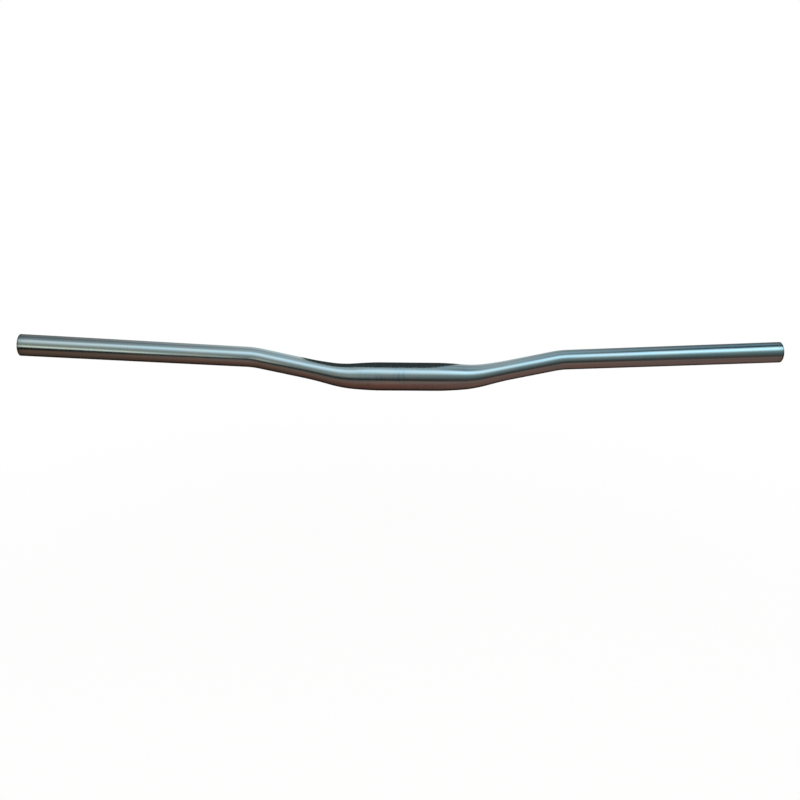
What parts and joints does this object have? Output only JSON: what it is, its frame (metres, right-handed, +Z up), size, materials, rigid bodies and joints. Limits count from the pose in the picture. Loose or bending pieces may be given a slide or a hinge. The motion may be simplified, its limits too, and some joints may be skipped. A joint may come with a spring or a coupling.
{
  "type": "riser handlebar",
  "caption": "Riser handlebar: a hollow metal tube, wide at the stem clamp, that tapers and bends up and back to straight grip ends, both open.",
  "frame": {"origin": "middle of the stem clamp zone, on the tube's centre line", "axes": "+X to the rider's right along the clamp zone, +Y forwards, +Z up, as the bar sits on the bicycle with its rise upright"},
  "size_m": [0.7998, 0.0628, 0.068],
  "materials": {
    "satin_titanium": "bare titanium, belt-polished round the tube to an even satin"
  },
  "bodies": {
    "root": {"handlebar": "satin_titanium"}
  },
  "joints": []
}
